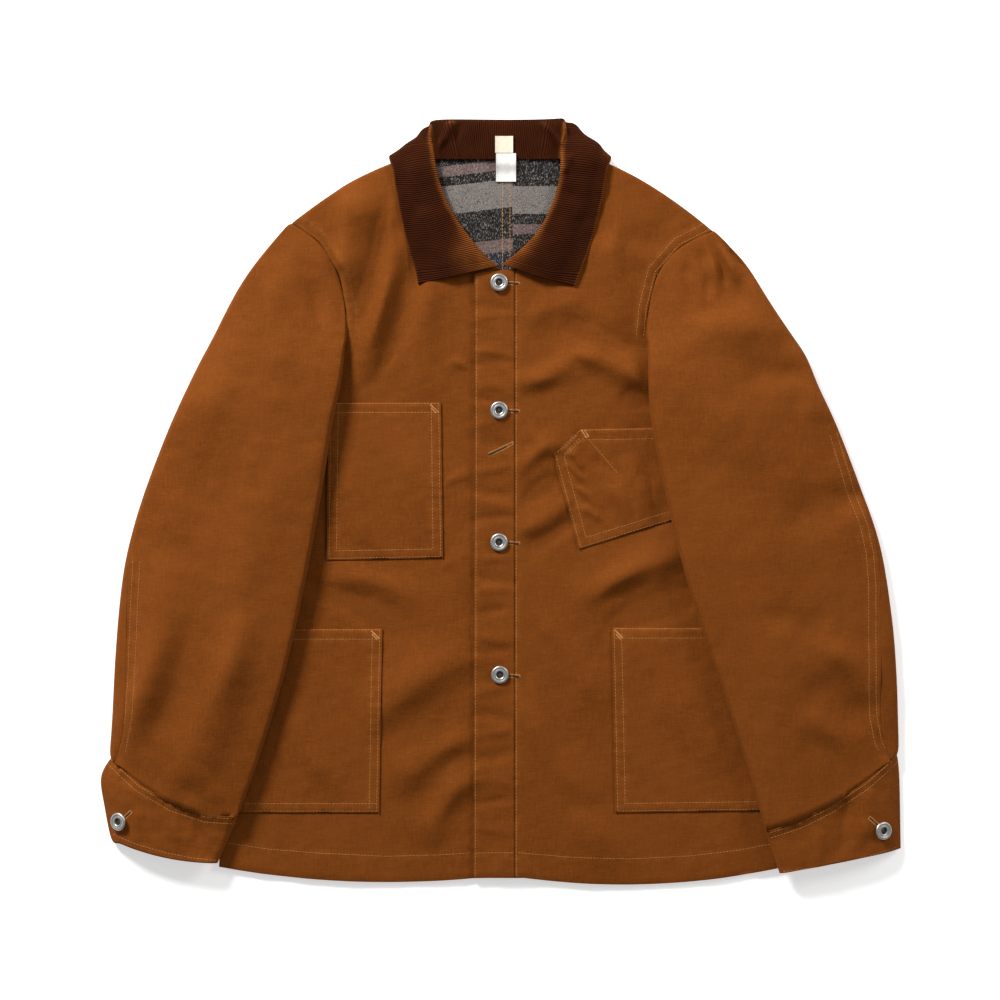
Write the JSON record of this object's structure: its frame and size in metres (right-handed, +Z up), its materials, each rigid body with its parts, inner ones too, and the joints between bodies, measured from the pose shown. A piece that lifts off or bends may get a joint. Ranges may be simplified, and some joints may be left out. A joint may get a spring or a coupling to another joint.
{
  "type": "chore jacket",
  "caption": "Blanket-lined duck canvas chore jacket laid flat, with a corduroy collar, buttoned placket front, patch pockets and sleeves folded down over the fronts.",
  "frame": {"origin": "on the surface that the jacket lies on, under the middle of the jacket", "axes": "+X to the wearer's left, across the jacket; +Y towards the collar; +Z up from the surface, out of the fronts"},
  "size_m": [0.7626, 0.7297, 0.0271],
  "materials": {
    "canvas": "matte duck canvas, firm plain weave, washed",
    "corduroy": "wide-wale cotton corduroy, soft pile",
    "blanket_lining": "striped wool-blend blanket lining, brushed",
    "label_tape": "plain woven tape, bare",
    "button_metal": "satin donut button"
  },
  "bodies": {
    "root": {"back": "canvas", "front_right": "canvas", "front_left": "canvas", "placket": "canvas", "chest_pocket_right": "canvas", "chest_pocket_left": "canvas", "hip_pocket_right": "canvas", "hip_pocket_left": "canvas", "sleeve_right_top": "canvas", "sleeve_right_under": "canvas", "sleeve_left_top": "canvas", "sleeve_left_under": "canvas", "cuff_right": "canvas", "cuff_left": "canvas", "collar": "corduroy", "lining_right": "blanket_lining", "lining_left": "blanket_lining", "neck_label": "label_tape", "size_label": "label_tape", "button_front_1": "button_metal", "button_front_2": "button_metal", "button_front_3": "button_metal", "button_front_4": "button_metal", "button_cuff_right": "button_metal", "button_cuff_left": "button_metal"}
  },
  "joints": []
}
